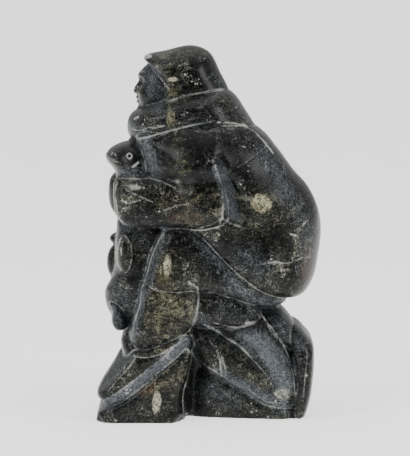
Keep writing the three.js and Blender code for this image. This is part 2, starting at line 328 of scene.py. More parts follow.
def sleeves():
    upper = dict(
        edge=3, blend=3,
        outline=[[-22, 160], [-25, 172, ROUND], [-12, 179, ROUND], [0, 176, ROUND], [4, 166, 5],
                 [7, 158, 9], [9, 147, 9], [9.5, 134, 9], [8.5, 127, 9], [-5, 122, 6], [-14, 130],
                 [-14, 147]])
    near_upper, far_upper = both_sides((-4, -ARM_PLANE, 150), near=27.5, far=20, **upper)
    near_fore = Form(
        (-24, -28, 137), near=20, far=18, edge=4.5, lean=(-0.17, 0), blend=11,
        outline=[[-58, 150], [-52, 153], [-40, 153], [-28, 152], [-15, 148.5], [0, 144], [9, 134],
                 [8, 126.5], [-2, 123.5], [-15, 121], [-30, 120], [-42, 120.5], [-52, 121.8],
                 [-57, 127], [-59, 139]])
    far_fore = Form(
        (-26, 27, 137), near=24, far=15, edge=4, lean=(0.3, 0), blend=11,
        outline=[[-61.5, 149], [-52, 153], [-40, 153], [-28, 152], [-15, 148.5], [0, 144], [9, 134],
                 [8, 126.5], [-2, 123.5], [-15, 121], [-30, 120], [-42, 120.5], [-55, 122],
                 [-61.5, 128], [-63.5, 139]])
    return [Group([near_upper, near_fore], seam=2, seam_above=14),
            Group([far_upper, far_fore], seam=2, seam_above=14)]


def head():
    skull = Form(
        (-28, 0, 206), near=17, edge=2.2,
        outline=[[-39, 220], [-43, 214], [-43.2, 210], [-44, 205], [-44.2, 199], [-42.5, 193.5],
                 [-37, 190], [-20, 190], [-10, 206], [-20, 222]])
    brow = Form((-40, 0, 214), near=12, edge=2.2, blend=2.5, outline=oval(-40.4, 214, 3.6, 2.2, 10))
    cheeks = both_sides((-35, -9, 202), near=7, edge=2.2, blend=5, outline=oval(-35.4, 202, 6.6, 6))
    sockets = both_sides((-42, -7.4, 210.2), near=4.6, edge=2.2, blend=1.5,
                         outline=oval(-43.4, 210.2, 4, 2.6))
    nose = Form(
        (-42, 0, 206), near=3.4, edge=2.2, blend=1.5,
        outline=[[-41, 213], [-44.4, 209], [-47, 204.4], [-46.4, 202.5], [-42, 201.6], [-37, 206]])
    nostrils = Form((-43, 0, 203.4), near=4.8, edge=2.2, blend=1, outline=oval(-43.2, 203.4, 2.6, 1.9))
    upper_lip = Form((-42, 0, 199.6), near=6, edge=2.2, blend=0.6, outline=oval(-42.3, 199.7, 3.4, 1.5))
    lower_lip = Form((-42, 0, 197), near=5, edge=2.2, blend=0.4, outline=oval(-42, 197.1, 3.2, 1.5))
    chin = Form((-39, 0, 193), near=6, edge=2.2, blend=2.5, outline=oval(-39.6, 193, 4.4, 3.2))
    eyes = both_sides((-39, -7.2, 210), near=3.4, edge=2.2, blend=0.3, outline=oval(-38.6, 210, 2.7, 1.9))
    return [Group([skull, brow] + cheeks, hollows=sockets),
            Group([nose, nostrils]), Group([chin], seam=3),
            Group([upper_lip, lower_lip], seam=0.6), Group(eyes, seam=0.4)]


def hood():
    form = Form(
        (-12, 0, 212), near=27,
        outline=[[-40.5, 225.3, 3], [-26, 229.5, 2.5], [-10, 232.5, 2.3], [0.8, 228.3, 2.3],
                 [7.5, 216.1, 2.3], [13.3, 203.1, 2.5], [12, 194, 3], [-15, 192, 4], [-27, 198, 6],
                 [-26, 204, 6], [-27, 209.5, 6], [-34, 218, 5]])
    return [Group([form])]


def seal():
    neck = Form(
        (-44, -3, 157), near=32, far=20,
        outline=[[-55, 149], [-57, 156], [-50, 168], [-41, 170], [-33, 160], [-28, 148],
                 [-42, 144]])
    face = Form(
        (-49, -3, 164), near=30, far=19, blend=4.5,
        outline=[[-64.5, 163.5, 2], [-62, 167.5, 2], [-56, 171, 2.2], [-48, 172.6],
                 [-38, 170, 3], [-35, 161, 3], [-48, 156.5, 2.6], [-58, 157, 2.2], [-63.3, 160.3, 2]])
    body = Form(
        (-42, 0, 90), near=26,
        outline=[[-56, 126], [-58, 116], [-59, 108], [-59.2, 96], [-61.2, 86], [-65.4, 77],
                 [-65, 70], [-61.5, 62], [-50, 53], [-35, 52], [-22, 80], [-22, 112], [-38, 128]])
    near_flipper = Form((-51, -18, 102), near=10, blend=4.5, outline=oval(-51.5, 103, 5.5, 12, 4))
    far_flipper = Form((-56, 16, 93.5), near=12, edge=3.2, blend=1.5, outline=oval(-56.5, 93.5, 8.4, 12.5))
    far_hand = Form((-55, 16, 108.5), near=10, blend=1.5, outline=oval(-55, 108.5, 8.2, 4.2))
    tail = Form(
        (-56, -10, 62), near=15, edge=3, blend=1.2,
        outline=[[-62, 72], [-57, 71.5], [-53, 66], [-51, 59.5], [-51.5, 54.5], [-57.5, 53.2],
                 [-60.8, 58], [-60.8, 66]])
    return [Group([neck, face], seam=1.5), Group([body, near_flipper, far_flipper, far_hand, tail], seam=2)]


KNEE_FACET = ((-41.5, -37, 80), (-29, -37, 121), (-25, -45, 121))
SHIN_FACET = ((-49.5, -38, 50), (-40.5, -38, 87), (-36, -46, 87))
TOE_FACET = ((-46, -48, 42), (-63, -48, 21), (-66.5, -28, 25))


def raised_leg():
    thigh = Form(
        (0, -LEG_PLANE, 97), near=28, edge=3, lean=(0.06, 0),
        outline=[[-27, 120.5, 6], [-20, 123, 4], [-8, 122], [5, 113], [20, 98], [38, 84], [50, 78],
                 [48, 72], [40, 70.5, 4], [30, 71.5, 5], [16, 76, 6], [4, 79.5, 6], [-8, 80, 6],
                 [-22, 80, 6], [-36, 82, 6], [-40.5, 85, 6], [-38.5, 94, 6], [-34, 108, 6]])
    shaft = Form(
        (-27, -LEG_PLANE, 64), near=28, edge=6,
        outline=[[-40.5, 87], [-30, 84], [-18, 82.5], [-6, 84.5], [-6, 74], [-8.5, 64], [-12, 56],
                 [-22, 49], [-34, 44], [-43.5, 43.3], [-48.8, 49], [-48, 58], [-44, 73]])
    foot = Form(
        (-43, -28, 33), near=22, edge=4,
        outline=[[-52, 46], [-44, 45], [-30, 48], [-14, 55], [-20, 46], [-35, 34.5], [-50, 22.5],
                 [-60, 15], [-66.5, 12.5], [-69.5, 16.5], [-67, 23], [-60, 34]])
    # the stone left under the foot, a little behind the faces above and below it
    sole_band = Form(
        (-38, -20, 29), near=28.5, edge=6,
        outline=[[-63, 8], [-66, 12], [-52, 26], [-32, 41], [-12, 54], [-9, 46], [-28, 32], [-46, 17]])
    return [Group([thigh], facets=[Facet(*KNEE_FACET, blend=4)], seam=1.5),
            Group([shaft], facets=[Facet(*SHIN_FACET, blend=4)]),
            Group([foot], facets=[Facet(*TOE_FACET, blend=1.5)], seam=1), Group([sole_band], seam=1)]


def kneeling_leg():
    fold = Form(
        (14, -14, 68), near=27, edge=4,
        outline=[[-14, 60], [-14, 80], [2, 82], [12, 80], [22, 76.5], [31, 71], [34, 64], [26, 57],
                 [12, 56]])
    calf = Form(
        (26, -14, 48), near=29, edge=3,
        outline=[[-5, 61.5], [8, 59.5], [20, 58.5, 4], [30, 61, 5], [34, 65, 5], [40, 60], [47, 51],
                 [51.5, 42, 4], [55, 30, 4], [58.5, 16, 4], [57, 6, 2], [47, 9.5, 2], [37, 22, 2.4],
                 [28, 36, 2.8], [17, 47, 4], [5, 56, 5]])
    calf_under = Form(
        (18, -12, 33), near=28, edge=4, blend=5,
        outline=[[-10, 58], [5, 55], [18, 46], [28, 38], [38, 27], [48, 17], [56, 9], [54, 3], [45, 3],
                 [36, 7], [28, 12], [20, 18], [10, 24], [2, 28], [-7, 36], [-12, 46]])
    heel = Form(
        (42, -2, 58), near=35,
        outline=[[28, 70], [38, 68.5], [46, 67], [50.5, 63], [54.5, 57], [56, 45], [50, 35],
                 [38, 44], [30, 58]])
    sole = Form(
        (58, -2, 28), near=38, edge=4.5, blend=1,
        outline=[[53, 58], [57.5, 56.2], [62, 51.7], [66.2, 46], [67, 37], [66, 22], [64.2, 10],
                 [59, -4], [55, -6], [56.5, 20], [53.5, 42]])
    far_thigh = Form(
        (0, LEG_PLANE, 58), near=27, edge=3.2,
        outline=[[50, 74], [35, 88], [5, 100], [-25, 85], [-36, 60], [-41, 30], [-40, 8],
                 [-30, -5], [-10, 0], [8, 30], [36, 64]])
    far_shin = Form(
        (12, LEG_PLANE, 12), near=26, edge=3.2,
        outline=[[-38, 14], [-25, 26], [0, 30], [30, 30], [58, 24], [60, -5], [-36, -5]])
    return [Group([fold]), Group([calf, calf_under]), Group([heel, sole], seam=1.5),
            Group([far_thigh, far_shin], seam=3)]


def base():
    front = Form(
        (-36, -12, 14), near=39, edge=9,
        outline=[[-68.3, 6.2], [-63.2, 8.5], [-55, 12.5], [-46, 19], [-36, 27.5], [-26, 36.5],
                 [-18, 43], [-12, 48], [-10.5, 40, 6], [-12.5, 28, 5], [-15, 16, 5], [-15, 4, 5], [-17, -6],
                 [-35, -8], [-60, -8], [-68.5, -5], [-69.8, 1]])
    rear = Form(
        (24, -2, 7), near=32, far=36, edge=5, lean=(-0.16, 0),
        outline=[[-12, 28], [-6, 34], [4, 28.5], [14, 23.5], [24, 17], [34, 10.5], [44, 7.5],
                 [54, 6.5], [58, 2], [58, -5], [-14, -5]])
    return [Group([front], seam=1), Group([rear], seam=1)]


def core():
    front = Form(
        (-30, 0, 32), near=42, edge=6,
        outline=[[-60, 8], [-57, 20], [-53.6, 40], [-54.5, 50], [-40, 60], [-20, 75], [-10, 60],
                 [-12, 30], [-15, -5], [-57, -5]])
    middle = Form(
        (8, 5, 45), near=29, far=36, edge=6, blend=9,
        outline=[[-25, 85], [10, 90], [40, 75], [48, 55], [50, -5], [-20, -5], [-25, 40]])
    return [Group([front, middle], seam=1)]


def all_groups():
    return (parka() + chest() + collar() + head() + hood() + seal() + sleeves() + raised_leg()
            + kneeling_leg() + base() + core())


# ---------- strokes cut or raised on the near face ----------

RIDGE = [(-2, 61), (5, 57), (12, 53), (20, 48), (27, 41), (33, 34), (38, 27)]
EYE_RING = oval(-48.8, 165, 1.6, 1.6)

# name: points (x, z), half width, height (below zero is cut), dust
STROKES = {
    "long_ridge": (RIDGE, 1.7, 1.2, 0.0),
    "long_ridge_crest": (RIDGE, 0.65, 0.0, 0.75),
    "long_ridge_groove": ([(8, 60), (16, 56), (24, 50), (31, 42), (36, 34)], 2.0, -1.3, 0.0),
    "short_ridge": ([(1, 50), (5, 45), (7.5, 38), (8.5, 28)], 0.8, 0.6, 0.7),
    "short_ridge_twin": ([(5, 47), (8.5, 41), (10.5, 34), (11, 28)], 0.9, 0.4, 0.6),
    "fold_lip": ([(3.6, 62), (10, 59.5), (17, 58.6), (25, 59.5), (32.6, 62.6)], 0.8, 0.7, 0.9),
    "fold_lip_chip": ([(24, 61), (30, 61.5)], 1.3, 0.2, 1.5),
    "boot_double_line": ([(-12, 53.5), (-20, 48.5), (-30, 42.8), (-38, 41.2), (-43, 41.2)], 0.7, -0.3, 0.8),
    "boot_back_edge": ([(-11, 56), (-7.5, 64), (-6, 74), (-6.5, 84), (-12, 88)], 0.9, 0.2, 0.9),
    "toe_line": ([(-59.5, 8), (-58.6, 4), (-57, 1)], 0.45, -0.2, 0.6),
    "sole_chamfer": ([(61.8, 51), (61.5, 38), (60, 22), (59, 12)], 0.6, 0.2, 0.75),
    "shoulder_crack": ([(10, 155), (18, 159), (28, 165), (37, 172)], 0.55, -0.3, 0.6),
    "nostril": ([(-60.6, 164.8), (-59.8, 166), (-58.4, 166.2), (-57.6, 165.2)], 0.5, -0.3, 1.3),
    "seal_mouth": ([(-61, 161.8), (-57.5, 160.8), (-54, 160.6)], 0.45, -0.4, 0.7),
    "seal_scratch": ([(-46.3, 158.6), (-43.2, 161.2)], 0.75, -0.2, 1.9),
    "hand_top": ([(-57, 151.5), (-44, 151.5), (-36, 152), (-28, 150), (-20, 146)], 0.7, 0.0, 0.75),
    "cuff": ([(-56.5, 150), (-58, 141), (-56, 128), (-53, 124)], 0.8, 0.0, 0.8),
    "sleeve_vein": ([(-52, 146), (-46, 142.5), (-40, 140), (-34, 137.5)], 0.6, -0.1, 0.9),
    "sleeve_vein_low": ([(-54, 138), (-49, 136.5), (-43, 138), (-39, 140)], 0.5, -0.1, 0.8),
    "sleeve_vein_up": ([(-54, 147), (-48, 147.5), (-43, 146)], 0.8, 0.0, 0.7),
    "sleeve_vein_back": ([(-28, 132), (-20, 135.5), (-12, 137)], 0.6, 0.0, 0.6),
    "arm_edge": ([(3.5, 163), (6, 155), (8.6, 148), (9.2, 138), (9, 128.5)], 0.55, 0.1, 0.8),
    "arm_foot": ([(9, 128), (3, 124.5), (-5, 122)], 0.8, 0.0, 0.7),
    "arm_tail": ([(9, 128), (13, 124.5), (20, 122.5)], 0.7, 0.0, 0.8),
    "back_vein": ([(33, 99), (41, 100.5), (50, 99), (58, 101.5), (64, 101)], 0.5, -0.1, 0.8),
    "back_vein_low": ([(36, 93), (46, 95.5), (55, 96), (62, 99)], 0.5, -0.1, 0.5),
    "back_vein_high": ([(52, 118), (58, 121), (66, 128)], 0.45, -0.1, 0.6),
    "back_fleck": ([(51, 117), (54, 116)], 0.8, 0.0, 1.3),
    "back_scratch": ([(20, 148), (26, 143)], 0.7, -0.1, 0.6),
    "spot_tail": ([(20, 131), (27, 126.5), (34, 122)], 0.7, -0.1, 0.5),
    "collar_crack": ([(-48, 181), (-42, 180.5), (-37, 183), (-33, 182.5), (-27, 184.5)], 0.55, -0.3, 0.9),
    "collar_fleck": ([(-46, 187.5), (-43.5, 189)], 0.9, 0.0, 1.3),
    "collar_star": ([(17, 194.5), (21, 197)], 0.7, 0.0, 0.8),
    "flipper_left": (
        [(-53, 115), (-55, 111.5), (-56.3, 106), (-56.8, 100), (-56, 95), (-54, 92)],
        0.8, 0.3, 0.8),
    "flipper_right": (
        [(-53, 115), (-50.4, 113), (-48.2, 108.5), (-47.4, 102.5),
         (-48.2, 96.5), (-49.8, 92.8), (-52, 91)],
        0.8, 0.3, 0.75),
    "flipper_hollow": ([(-51, 111), (-51.5, 103), (-51, 96)], 1.8, -0.8, 0.0),
    "flipper_streak": ([(-54.5, 107), (-54, 102)], 0.7, 0.0, 1.0),
    "flipper_scratch": ([(-47, 104), (-42, 100.5), (-37, 103)], 0.5, 0.0, 0.5),
    "thigh_scratch": ([(-14, 96), (-12, 100), (-9, 102)], 0.5, 0.0, 0.6),
    "base_scratch": ([(-49, 8), (-38, 5), (-28, 6)], 0.5, 0.0, 0.4),
    "knee_edge": (
        [(-28, 119), (-34, 107), (-38.8, 93), (-40.8, 86), (-45.5, 68), (-48.3, 52)],
        0.8, 0.0, 0.8),
    "hood_rim": ([(-39, 223.5), (-33, 216.5), (-28, 210.5), (-24.8, 206.5)], 0.6, 0.1, 1.4),
    "collar_hem": (
        [(-47, 175), (-38, 177), (-26, 180.5), (-8, 185), (4, 186.6),
         (16, 185.6), (23, 183.6), (29.5, 179.6), (35.5, 173), (40.5, 166.5)],
        0.6, -0.2, 1.3),
    "hood_foot": ([(-33, 196.5), (-22, 199), (-10, 202.5), (2, 205.5), (12, 206)], 0.55, 0.0, 0.9),
    "seal_eye": (EYE_RING + EYE_RING[:1], 0.6, -0.2, 1.5),
    "seal_pupil": ([(-48.9, 165), (-48.7, 165)], 1.2, -0.7, 0.0),
    "rear_top": ([(-6, 37), (9, 28), (23, 17.6), (34, 9.8), (43.5, 7.5), (55, 8.7)], 0.8, 0.2, 0.65),
    "rear_top_twin": ([(25, 20), (32, 14), (37, 11), (43, 11)], 0.6, 0.0, 0.8),
    "sole_line": ([(53.7, 62), (51.3, 55.8), (51, 48)], 0.7, 0.0, 0.8),
    # This entry is pale dust and painted light: a broad haze that lifts the shade in the slot between the
    # boot and the fold.
    "fold_left_dust_and_light": ([(1, 75), (0, 69), (1, 63)], 2.4, 0.0, 0.42),
    "thigh_low_edge": ([(-4, 82), (11.6, 78.6), (23, 73.5), (28, 69.6), (34, 62)], 0.8, 0.0, 0.55),
    "hem_upper": ([(-3, 117), (3, 109), (12, 98), (22, 88), (32, 81.5)], 0.8, 0.0, 0.4),
    "foot_edge": ([(-44, 42), (-49, 35), (-57, 26), (-62, 20)], 0.6, 0.0, 0.5),
    "calf_back_edge": (
        [(33, 66), (40, 57.5), (46.5, 48), (51, 38), (53.5, 27), (54.5, 14)],
        0.7, 0.2, 0.95),
}

# name: points (x, z), half width, strength of the blue-grey: partly a dull, unpolished finish and partly a
# painted sheen where light would catch a facet or curve
DULL_AND_SHEEN_ZONES = {
    "chest_side": ([(-40, 178), (-37, 166), (-33, 155)], 6, 0.8),
    "foot_top": ([(-50, 44), (-58, 34), (-66, 20)], 6, 0.15),
    "sole_groove": ([(-14, 51), (-30, 36), (-50, 19), (-62, 12)], 4, 1.3),
    "hem_band": ([(-4, 112), (12, 92), (28, 77), (46, 72)], 5, 0.6),
    "thigh_under": ([(16, 84), (30, 76), (44, 72)], 6, 0.6),
    "knee_front": ([(-27, 119), (-34, 103), (-40, 86)], 4, 0.75),
    "shin_front": ([(-40, 84), (-44, 68), (-47, 52)], 4, 0.75),
    # The two calf entries paint a broad pale sheen on the calf and, in calf_sheen, its brightest highlight.
    "calf": ([(24, 54), (34, 48), (43, 38), (48, 22)], 8, 1.0),
    "calf_sheen": ([(29, 52), (35, 44), (40, 36)], 4.5, 1.7),
    "calf_foot": ([(6, 30), (22, 21), (36, 13), (48, 8)], 5, 0.9),
    "rear_side": ([(0, 20), (14, 14)], 10, 0.5),
    # This entry paints the pale sheen band where the shoulder turns into the back.
    "back_valley_sheen": ([(33, 168), (45, 150), (50, 140)], 6, 0.7),
    "back_dip": ([(24, 104), (34, 98)], 10, 0.45),
    "arm_hollow": ([(6.5, 158), (11, 148), (13, 138), (16, 129)], 4, 1.5),
    "fold": ([(8, 70), (18, 67), (28, 66)], 7, 0.3),
    "ridge_start": ([(-5, 64), (0, 58), (4, 55)], 5, 0.6),
    "heel": ([(44, 62), (52, 54), (57, 48)], 8, 0.5),
    "seal_side": ([(-55, 118), (-48, 116), (-38, 112)], 7, 0.6),
    "seal_low": ([(-58, 85), (-50, 70), (-46, 60)], 9, 0.45),
    "seal_neck": ([(-54, 155), (-40, 155)], 4, 0.7),
    # This entry paints a blue-grey sheen on the side of the face.
    "cheek_sheen": ([(-36, 215), (-32, 205), (-32, 198)], 7, 0.9),
    # This entry paints a soft highlight at the hood's back edge.
    "hood_back_sheen": ([(3, 202), (8, 207), (6, 214)], 5, 0.3),
    "collar_front": ([(-46, 178), (-48, 186)], 6, 0.4),
    # This entry paints the pale sheen on the back's right flank.
    "back_side_sheen": ([(56, 132), (62, 114), (61, 96)], 8, 0.45),
    # This entry is painted light: it lightens the shade on the seal's rounded tail.
    "tail": ([(-58, 68), (-55, 58)], 4, 0.8),
}


def path_distance(points, path):
    """Distance in the X-Z plane from each point to an open path."""
    flat = points[:, [0, 2]]
    nearest = np.full(len(points), BIG)
    for a, b in zip(path[:-1], path[1:]):
        a, b = np.array(a, float), np.array(b, float)
        along = np.clip((flat - a) @ (b - a) / ((b - a) @ (b - a)), 0, 1)
        gap = flat - a - along[:, None] * (b - a)
        nearest = np.minimum(nearest, np.hypot(gap[:, 0], gap[:, 1]))
    return nearest


# ---------- the stone's skin ----------

VOXEL = 1.55                    # millimetres
LINE_ZONE = 0.25                # faces with more dust than this are split
PROBE = 0.35                    # step for slopes
LONGEST_STEP = 1.5              # how far a point moves at once
GENTLEST_SLOPE = 0.2
EASES = (0.5, 0.3)              # how far points slide toward their neighbours, round by round
HOLLOW_REACH = 4.5              # how far out a hollow is felt
NEAR_FACING = (0.04, 0.44)      # how far a surface must turn toward -Y to take a stroke
STROKE_EDGE = (1.3, 0.3)        # where a stroke's dust ends and is full, in half widths
DULL_AND_SHEEN_EDGE = (1.2, 0.2)          # the same of a dull or painted-sheen zone
DULL_AND_SHEEN_ROUND = 0.7                # below 1 a dull or painted-sheen zone's middle is broader
DULL_AND_SHEEN_BACK = 5.0                 # dull and painted-sheen zones end here, on the way to the far side
FACET_DULL_AND_SHEEN = 0.5
RECESS = [(-6, -5), (-6, 30)]   # the dark slot between the two blocks of the base, kept clean
RECESS_WIDTH = 7.0
FACE = (-42.0, 0.0, 203.0)      # the face keeps little of the dust that gathers in seams
FACE_CLEAN = 18.0               # how far round its middle that holds
FACE_DUST = 0.35
FAR_CLEAN = 0.4                 # how much cleaner the seams of the far side are
FAR_SIDE = (6.0, 18.0)          # the far side begins and is fully reached


def slopes(points, groups):
    columns = []
    for step in np.eye(3) * PROBE:
        rise = stone_distance(points + step, groups)[0] - stone_distance(points - step, groups)[0]
        columns.append(rise / (2 * PROBE))
    return np.stack(columns, axis=1)


def normals(points, groups):
    slope = slopes(points, groups)
    return slope / np.maximum(np.linalg.norm(slope, axis=1), TINY)[:, None]


def settle(points, groups, rounds):
    """Moves points onto the stone's surface."""
    for _ in range(rounds):
        d = stone_distance(points, groups)[0]
        slope = slopes(points, groups)
        size = np.maximum((slope ** 2).sum(axis=1), GENTLEST_SLOPE)
        step = np.clip(d / size, -LONGEST_STEP, LONGEST_STEP)
        points = points - slope * step[:, None]
    return points


def relax(points, edges, amount):
    """Slides each point toward the middle of its neighbours."""
    count = np.bincount(edges.ravel(), minlength=len(points)).astype(float)
    middle = np.empty_like(points)
    for axis in range(3):
        total = np.bincount(edges[:, 0], points[edges[:, 1], axis], minlength=len(points))
        total += np.bincount(edges[:, 1], points[edges[:, 0], axis], minlength=len(points))
        middle[:, axis] = total / count
    return points + (middle - points) * amount


def remeshed_node():
    """A copy of the CAD solid with its vertices merged and an even skin of small faces."""
    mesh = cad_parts[NODE].data.copy()
    work = bmesh.new()
    work.from_mesh(mesh)
    bmesh.ops.remove_doubles(work, verts=work.verts, dist=1e-6)
    work.to_mesh(mesh)
    work.free()
    rough = bpy.data.objects.new("rough", mesh)
    bpy.context.collection.objects.link(rough)
    skin = rough.modifiers.new("even_skin", "REMESH")
    skin.mode = "VOXEL"
    skin.voxel_size = VOXEL * MM
    bpy.context.view_layer.update()
    result = bpy.data.meshes.new_from_object(rough.evaluated_get(bpy.context.evaluated_depsgraph_get()))
    bpy.data.objects.remove(rough)
    return result


def mesh_points(mesh):
    flat = np.empty(len(mesh.vertices) * 3, np.float32)
    mesh.vertices.foreach_get("co", flat)
    return flat.reshape(-1, 3).astype(float) / MM


def mesh_edges(mesh):
    ends = np.empty(len(mesh.edges) * 2, np.int32)
    mesh.edges.foreach_get("vertices", ends)
    return ends.reshape(-1, 2)


def put_points(mesh, points):
    mesh.vertices.foreach_set("co", (points * MM).astype(np.float32).ravel())


def add_layer(mesh, name, values):
    mesh.attributes.new(name, "FLOAT", "POINT").data.foreach_set("value", values.astype(np.float32))


def refine(mesh, strength):
    """Splits the skin's faces into smaller ones where the strength is above LINE_ZONE."""
    work = bmesh.new()
    work.from_mesh(mesh)
    work.verts.ensure_lookup_table()
    busy = [edge for edge in work.edges
            if max(strength[edge.verts[0].index], strength[edge.verts[1].index]) > LINE_ZONE]
    bmesh.ops.subdivide_edges(work, edges=busy, cuts=1, use_grid_fill=True)
    bmesh.ops.triangulate(work, faces=[face for face in work.faces if len(face.verts) > 4])
    work.to_mesh(mesh)
    work.free()


def stroke_layers(points, normal, spread=0.0):
    """How far the strokes lift each point, and how dusty they make it, each stroke widened by `spread`."""
    front = ramp(-normal[:, 1], *NEAR_FACING) * (points[:, 1] < 0)
    lift = np.zeros(len(points))
    dust = np.zeros(len(points))
    for path, width, height, dusty in STROKES.values():
        gap = path_distance(points, path) / (width + spread)
        lift += np.clip(1 - gap * gap, 0, 1) ** 2 * front * height
        dust = np.maximum(dust, ramp(gap, *STROKE_EDGE) * dusty * front)
    return lift, dust


def seam_dust(points, line):
    """How dusty the seams are, with the recess, the face and the far side kept cleaner."""
    from_face = np.linalg.norm(points - FACE, axis=1) / FACE_CLEAN
    recess = np.clip(path_distance(points, RECESS) / RECESS_WIDTH, 0, 1) ** 2
    far = 1 - FAR_CLEAN * ramp(points[:, 1], *FAR_SIDE)
    return line * recess * np.clip(from_face, FACE_DUST, 1) * far * SEAM_DUST


# How dull each point is, with the painted sheen on facets and in the sheen zones.
def dullness_and_sheen(points, facet):
    dull_and_sheen = facet * FACET_DULL_AND_SHEEN
    for path, width, strength in DULL_AND_SHEEN_ZONES.values():
        gap = path_distance(points, path) / width
        zone = ramp(gap, *DULL_AND_SHEEN_EDGE) ** DULL_AND_SHEEN_ROUND * strength
        dull_and_sheen = np.maximum(dull_and_sheen, zone * (points[:, 1] < DULL_AND_SHEEN_BACK))
    return dull_and_sheen


def fitted_skin(groups):
    """The skin laid on the stone's forms, with small faces along the lines and on the face."""
    mesh = remeshed_node()
    points, edges = mesh_points(mesh), mesh_edges(mesh)
    for ease in EASES:
        points = settle(points, groups, 2)
        points = relax(points, edges, ease)
    points = settle(points, groups, 2)
    put_points(mesh, points)

    line = stone_distance(points, groups)[1]
    dust = stroke_layers(points, normals(points, groups), spread=VOXEL / 2)[1]
    on_face = np.linalg.norm(points - FACE, axis=1) < FACE_CLEAN
    refine(mesh, np.maximum(line, dust) + on_face)
    return mesh


def build_stone():
    groups = all_groups()
    mesh = fitted_skin(groups)
    points = settle(mesh_points(mesh), groups, 1)
    normal = normals(points, groups)
    _, line, facet = stone_distance(points, groups)
    out = stone_distance(points + normal * HOLLOW_REACH, groups)[0]
    lift, stroke_dust = stroke_layers(points, normal)
    add_layer(mesh, "dust", np.maximum(stroke_dust, seam_dust(points, line)))
    # The dull layer marks dull, unpolished stone and the painted sheen.
    add_layer(mesh, "dull_and_sheen", dullness_and_sheen(points, facet))
    add_layer(mesh, "hollow", ramp(out, HOLLOW_REACH, 0))

    points = points + normal * lift[:, None]
    points[:, 2] = np.maximum(points[:, 2], 0)
    put_points(mesh, points)
    mesh.update()
    mesh.shade_smooth()
    piece = bpy.data.objects.new("hunter_stone", mesh)
    bpy.context.collection.objects.link(piece)
    return piece


# ---------- materials ----------

class Socket:
    """A shader output that can be added, multiplied and compared in a Python expression."""

    def __init__(self, tree, output):
        self.tree, self.output = tree, output

    def maths(self, operation, *values, clamp=False):
        node = self.tree.node("ShaderNodeMath", operation=operation, use_clamp=clamp)
        for i, value in enumerate((self,) + values):
            self.tree.feed(node.inputs[i], value)
        return Socket(self.tree, node.outputs[0])

    def __add__(self, other):
        return self.maths("ADD", other)

    def __sub__(self, other):
        return self.maths("SUBTRACT", other)

    def __rsub__(self, other):
        return self * -1.0 + other

    def __mul__(self, other):
        return self.maths("MULTIPLY", other)

    def __truediv__(self, other):
        return self.maths("DIVIDE", other)

    __radd__ = __add__
    __rmul__ = __mul__

    def most(self, other):
        return self.maths("MAXIMUM", other)

    def size(self):
        return self.maths("ABSOLUTE")

    def clamp(self):
        return self.maths("ADD", 0.0, clamp=True)

    def ramp(self, low, high):
        """0 at low, 1 at high, straight between them and level beyond. Low may be the larger."""
        return ((self - low) / (high - low)).clamp()


class Tree:
    """One material's nodes."""

    def __init__(self, name):
        self.material = bpy.data.materials.new(name)
        self.material.use_nodes = True
        self.nodes = self.material.node_tree.nodes
        self.links = self.material.node_tree.links
        self.shader = self.nodes["Principled BSDF"]

    def node(self, kind, **settings):
        made = self.nodes.new(kind)
        for key, value in settings.items():
            setattr(made, key, value)
        return made

    def feed(self, target, value):
        if isinstance(value, Socket):
            self.links.new(value.output, target)
        else:
            target.default_value = value

    def place(self):
        return Socket(self, self.node("ShaderNodeTexCoord").outputs["Object"])

    def layer(self, name):
        return Socket(self, self.node("ShaderNodeAttribute", attribute_name=name).outputs["Fac"])

    def noise(self, place, scale, *shape):
        """A pattern that runs above and below 0. Its shape is detail, roughness and distortion."""
        made = self.node("ShaderNodeTexNoise")
        self.feed(made.inputs["Vector"], place)
        for key, value in zip(("Scale", "Detail", "Roughness", "Distortion"), (scale, *shape)):
            made.inputs[key].default_value = value
        return Socket(self, made.outputs["Fac"]) - 0.5

    def cells(self, place, scale):
        made = self.node("ShaderNodeTexVoronoi")
        self.feed(made.inputs["Vector"], place)
        made.inputs["Scale"].default_value = scale
        return Socket(self, made.outputs["Distance"])

    def stretch(self, place, middle=(0, 0, 0), turn=0, scale=(1, 1, 1)):
        """The place as seen from `middle` (metres), turned in the X-Z plane (degrees), and scaled."""
        moved = self.node("ShaderNodeVectorMath", operation="SUBTRACT")
        self.feed(moved.inputs[0], place)
        moved.inputs[1].default_value = middle
        made = self.node("ShaderNodeMapping")
        self.links.new(moved.outputs[0], made.inputs["Vector"])
        made.inputs["Rotation"].default_value = (0, math.radians(turn), 0)
        made.inputs["Scale"].default_value = scale
        return Socket(self, made.outputs[0])

    def length(self, place):
        made = self.node("ShaderNodeVectorMath", operation="LENGTH")
        self.feed(made.inputs[0], place)
        return Socket(self, made.outputs["Value"])

    def blend(self, factor, a, b):
        made = self.node("ShaderNodeMix", data_type="RGBA")
        self.feed(made.inputs[0], factor)
        for target, value in ((made.inputs[6], a), (made.inputs[7], b)):
            self.feed(target, value if isinstance(value, Socket) else (*value, 1.0))
        return Socket(self, made.outputs[2])


BLACK_GREEN = (0.0030, 0.0034, 0.0028)
GREY_GREEN = (0.040, 0.044, 0.038)
OLIVE = (0.100, 0.092, 0.050)
STRAW = (0.240, 0.222, 0.130)
SILVER = (0.170, 0.178, 0.168)
RUST = (0.120, 0.070, 0.034)
BLUE_GREY = (0.150, 0.164, 0.184)
DEEP_BLUE = (0.036, 0.041, 0.048)
PALE_DUST = (0.400, 0.410, 0.390)
CREAM = (0.480, 0.450, 0.330)
WHITE_SPECK = (0.560, 0.560, 0.520)

# Areas are ovals: middle (x, y, z) mm, half sizes mm, turn in the X-Z plane in degrees, and strength.
COLLAR_AREA = ((-8, -30, 191), (44, 40, 13), -8)

